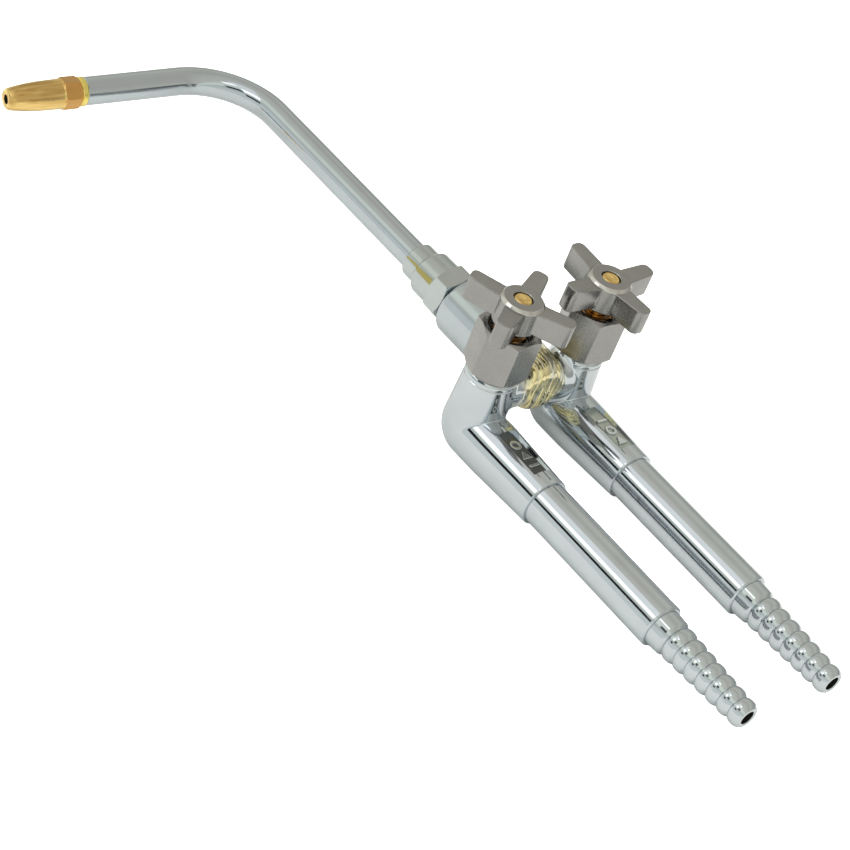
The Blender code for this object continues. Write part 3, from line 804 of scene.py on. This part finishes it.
def build_neck():
    flange, shelf, end = BARREL_END + 10.7, BARREL_END + 15.2, BARREL_END + 30.4
    ferrule = [(6.42, flange), (9.1, flange), (9.1, shelf), (8.4, shelf)]
    ferrule += arc(7.2, end - 1.2, 1.2, 0, 75, 8) + [(6.42, end)]
    collar = to_object("neck_ferrule", lathe(ferrule, closed=True))
    dress(collar, BARREL, "nut", "neck", ["tube_ferrule"])

    stops = [shelf + 1.1 - BEND_START, -60.0, 0.0]
    stops += [BEND_LENGTH * k / 48 for k in range(1, 49)]
    end = BEND_LENGTH + TUBE_AFTER_BEND
    stops += [end - 20.0, end - 0.25, end]
    side = AHEAD.cross(NECK_DROP)
    outer, inner = [], []
    for along in stops:
        point, heading = neck_point(along)
        place = axis_frame(point, heading, side)
        chamfer = 0.25 if along == end else 0.0
        outer += [[place @ v for v in turn_rings([(TUBE_R - chamfer, 0)])[0]]]
        inner += [[place @ v for v in turn_rings([(TUBE_BORE, 0)])[0]]]
    tube = to_object("burner_neck_tube", skin(outer + inner[::-1], True))
    dress(tube, CASTING, "tube", "neck", ["burner_tube"])

    bush = [(4.2, -10.0), (4.9, -10.0), (4.9, 0.1), (6.3, 0.1, 0.1), (6.6, 0.5, 0.1), (6.6, 2.4, 0.1),
            (6.2, 2.8, 0.1), (4.2, 2.8)]
    socket = to_object("tip_bush", lathe(bush, closed=True))
    dress(socket, TIP, "bush", "neck", ["tip_socket"])


def build_tip():
    base, flats, top = TIP_BASE, 12.8, TIP_BASE + TIP_LENGTH
    cone = [(0, base), (6.3, base, 0.2), (7.25, base + 0.8, 0.3), (7.3, base + 7.6, 0.6),
            (6.75, base + 8.9, 0.6), (6.65, base + 14.7, 30.0), (6.5, base + 19.8, 30.0),
            (6.05, base + 25.3, 30.0), (5.25, base + 31.2, 12.0), (4.7, top - 0.6, 0.9), (4.05, top, 0.4),
            (0, top)]
    tip = to_object("flame_tip", lathe(cone))
    hexed = hexagon(flats, TIP_TURN, 0.3)
    cutter = skin([[Vector((x, y, h)) for x, y in hexed] for h in (base - 1, base + 8.0)]
                  + [[Vector((x * 1.35, y * 1.35, h)) for x, y in hexed] for h in (base + 8.9, 60)])
    combine(tip, cutter, "INTERSECT")
    spigot = [(0, -8.0), (3.3, -8.0, 0.2), (3.9, -7.3, 0.2), (3.9, base + 1), (0, base + 1)]
    combine(tip, lathe(spigot, 48, start=0.02), "UNION")
    bore = [(0, -20), (1.8, -20), (1.8, top - 0.9), (2.1, top - 0.2), (2.6, top + 0.2), (2.6, 60),
            (0, 60)]
    combine(tip, lathe(bore, 40, start=0.03), "DIFFERENCE")
    dress(tip, TIP, "brass", "tip", ["burner_tip"], crease=28.0)
    repaint(tip, "brass_hex", lambda c: base - 0.5 < c.z < base + 8.3 and math.hypot(c.x, c.y) > 4.5)
    # The tip's bore gets the near-black look: painted shade for its dark inside.
    repaint(tip, "bore", lambda c: math.hypot(c.x, c.y) < 1.95)


# ---------------------------------------------------------------- studio

# Points in the world, in metres, that the cards are set round
GRIPS, BEND = Vector((0.032, -0.145, 0.013)), Vector((0.02, 0.175, 0.033))
CARD_AWAY, CARD_MIDDLE, CARD_LENGTH = 0.80, 0.235, 0.33
BEND_CARD_AWAY = 0.9
WARM_WHITE = (1.0, 0.995, 0.975)
PAPER_LIFT = 1.00     # burns the paper out to white where the camera sees it directly
TENT = (  # degrees from overhead towards the left, and the tone there
    (-180, (0.59, 0.59, 0.56)), (-76, (0.47, 0.47, 0.43)), (-45, (0.72, 0.71, 0.62)),
    (-21, (0.62, 0.59, 0.52)), (0, (0.75, 0.73, 0.65)), (22, (0.77, 0.77, 0.67)),
    (36, (1.02, 1.05, 0.92)), (48, (1.00, 1.03, 0.92)), (60, (0.66, 0.69, 0.62)),
    (72, (0.86, 0.90, 0.86)), (90, (0.88, 0.91, 0.88)), (180, (0.88, 0.93, 0.95)))


def glow(name, colour, strength):
    material = bpy.data.materials.new(name)
    material.use_nodes = True
    tree = material.node_tree
    tree.nodes.clear()
    output = tree.nodes.new("ShaderNodeOutputMaterial")
    light = tree.nodes.new("ShaderNodeEmission")
    light.inputs["Color"].default_value = (*colour, 1.0)
    light.inputs["Strength"].default_value = strength
    tree.links.new(light.outputs["Emission"], output.inputs["Surface"])
    return material


def build_floor():
    shape = bmesh.new()
    bmesh.ops.create_grid(shape, x_segments=1, y_segments=1, size=3.0)
    mesh = bpy.data.meshes.new("floor")
    shape.to_mesh(mesh)
    shape.free()
    floor = bpy.data.objects.new("floor", mesh)
    bpy.context.scene.collection.objects.link(floor)
    g = Graph("paper")
    fibres = g.noise((220, 220, 220), 3.0, 0.5)
    g.link(g.mix(fibres, (0.93, 0.93, 0.93), (0.90, 0.90, 0.90)), g.shader.inputs["Base Color"])
    g.shader.inputs["Roughness"].default_value = 0.9
    g.shader.inputs["Specular IOR Level"].default_value = 0.1
    rays = g.tree.nodes.new("ShaderNodeLightPath")
    g.shader.inputs["Emission Color"].default_value = (1.0, 1.0, 1.0, 1.0)
    lift = g.maths("MULTIPLY", rays.outputs["Is Camera Ray"], PAPER_LIFT)
    g.link(lift, g.shader.inputs["Emission Strength"])
    floor.data.materials.append(g.material)


def build_card(name, centre, normal, along, size, material):
    """A flat studio card that only shiny surfaces see."""
    shape = bmesh.new()
    bmesh.ops.create_grid(shape, x_segments=1, y_segments=1, size=0.5)
    mesh = bpy.data.meshes.new(name)
    shape.to_mesh(mesh)
    shape.free()
    card = bpy.data.objects.new(name, mesh)
    bpy.context.scene.collection.objects.link(card)
    z = Vector(normal).normalized()
    y = Vector(along)
    y = (y - z * y.dot(z)).normalized()
    turn = Matrix((y.cross(z), y, z)).transposed().to_4x4()
    card.matrix_world = Matrix.Translation(centre) @ turn @ Matrix.Diagonal((size[0], size[1], 1, 1))
    card.data.materials.append(material)
    card.visible_camera = card.visible_diffuse = card.visible_shadow = False


def build_world():
    """A pale tent whose tone changes round the torch's long axis, from straight down on the right,
    over the top, to straight down on the left."""
    world = bpy.data.worlds.new("tent")
    bpy.context.scene.world = world
    world.use_nodes = True
    tree = world.node_tree
    tree.nodes.clear()

    output = tree.nodes.new("ShaderNodeOutputWorld")
    background = tree.nodes.new("ShaderNodeBackground")
    coords = tree.nodes.new("ShaderNodeTexCoord")
    split = tree.nodes.new("ShaderNodeSeparateXYZ")
    ramp = tree.nodes.new("ShaderNodeValToRGB")
    first, last = ramp.color_ramp.elements
    first.position, first.color = 0.0, (*TENT[0][1], 1)
    last.position, last.color = 1.0, (*TENT[-1][1], 1)
    for angle, colour in TENT[1:-1]:
        ramp.color_ramp.elements.new((angle + 180.0) / 360.0).color = (*colour, 1)
    tree.links.new(coords.outputs["Generated"], split.inputs["Vector"])
    leftwards = add_maths(tree, "MULTIPLY", split.outputs["X"], -1.0)
    angle = add_maths(tree, "ARCTAN2", leftwards, split.outputs["Z"])
    share = add_maths(tree, "ADD", add_maths(tree, "DIVIDE", angle, TURN), 0.5)
    tree.links.new(share, ramp.inputs["Fac"])
    tree.links.new(ramp.outputs["Color"], background.inputs["Color"])
    tree.links.new(background.outputs["Background"], output.inputs["Surface"])


def build_light(name, place, target, size, watts):
    """A soft light that no shiny surface shows."""
    data = bpy.data.lights.new(name, "AREA")
    data.shape, data.size, data.size_y, data.energy = "RECTANGLE", size[0], size[1], watts
    light = bpy.data.objects.new(name, data)
    bpy.context.scene.collection.objects.link(light)
    light.location = place
    light.rotation_euler = (Vector(target) - Vector(place)).to_track_quat("-Z", "Y").to_euler()
    light.visible_glossy = False
    light.visible_camera = False


def build_grip_card(name, angle, spread, material):
    """A card that shows only along the grips and arms; angles are degrees from overhead to the left."""
    a = math.radians(angle)
    way = Vector((-math.sin(a), 0, math.cos(a)))
    centre = GRIPS + way * CARD_AWAY
    centre.y = CARD_MIDDLE
    width = 2 * CARD_AWAY * math.tan(math.radians(spread / 2))
    build_card(name, centre, -way, (0, 1, 0), (width, CARD_LENGTH), material)


def build_bend_card(name, way, size, material):
    """A card beside the camera that shows in the bend of the neck."""
    way = Vector(way).normalized()
    build_card(name, BEND + way * BEND_CARD_AWAY, -way, (0, 1, 0), size, material)


def build_studio():
    build_floor()
    build_world()
    black = glow("flag_black", (0.01, 0.01, 0.012), 1.0)
    white = glow("strip_white", WARM_WHITE, 2.1)
    grey = glow("flag_grey", (0.10, 0.11, 0.12), 1.0)
    build_grip_card("studio_flag", 66.0, 9.5, black)
    build_grip_card("studio_strip", 43.5, 14.0, white)
    build_grip_card("studio_fill", 24.5, 24.0, glow("fill_white", WARM_WHITE, 1.12))
    build_bend_card("camera_flag", (-0.69, -0.345, 0.57), (0.19, 0.40), grey)
    build_bend_card("camera_strip", (-0.42, -0.21, 0.88), (0.12, 0.36), white)
    build_light("overhead", (0.0, 0.0, 2.0), (0, 0, 0), (2.4, 2.4), 27.0)


def build_camera():
    data = bpy.data.cameras.new("camera")
    data.lens, data.sensor_width = 116.719, 36.0
    data.clip_end = 20.0
    camera = bpy.data.objects.new("camera", data)
    bpy.context.scene.collection.objects.link(camera)
    camera.location = (-0.73529, -0.58786, 0.67)
    camera.rotation_euler = [math.radians(a) for a in (52.338, -17.378, -39.069)]
    bpy.context.scene.camera = camera


# ---------------------------------------------------------------- everything in turn

for side in SIDES:
    build_valve_body(side)
    build_panel_marks(side)
    build_bonnet(side)
    build_gland_nut(side)
    build_spindle(side)
    build_handle(side)
    build_grip(side)
    build_hose_nozzle(side)
build_mixer()
build_union_nut()
build_neck()
build_tip()
for node, look in HIDDEN_LOOKS.items():
    frame["nodes"][node].data.materials.clear()
    frame["nodes"][node].data.materials.append(MATERIALS[look])
build_studio()
build_camera()

bpy.context.scene.view_settings.view_transform = "Standard"
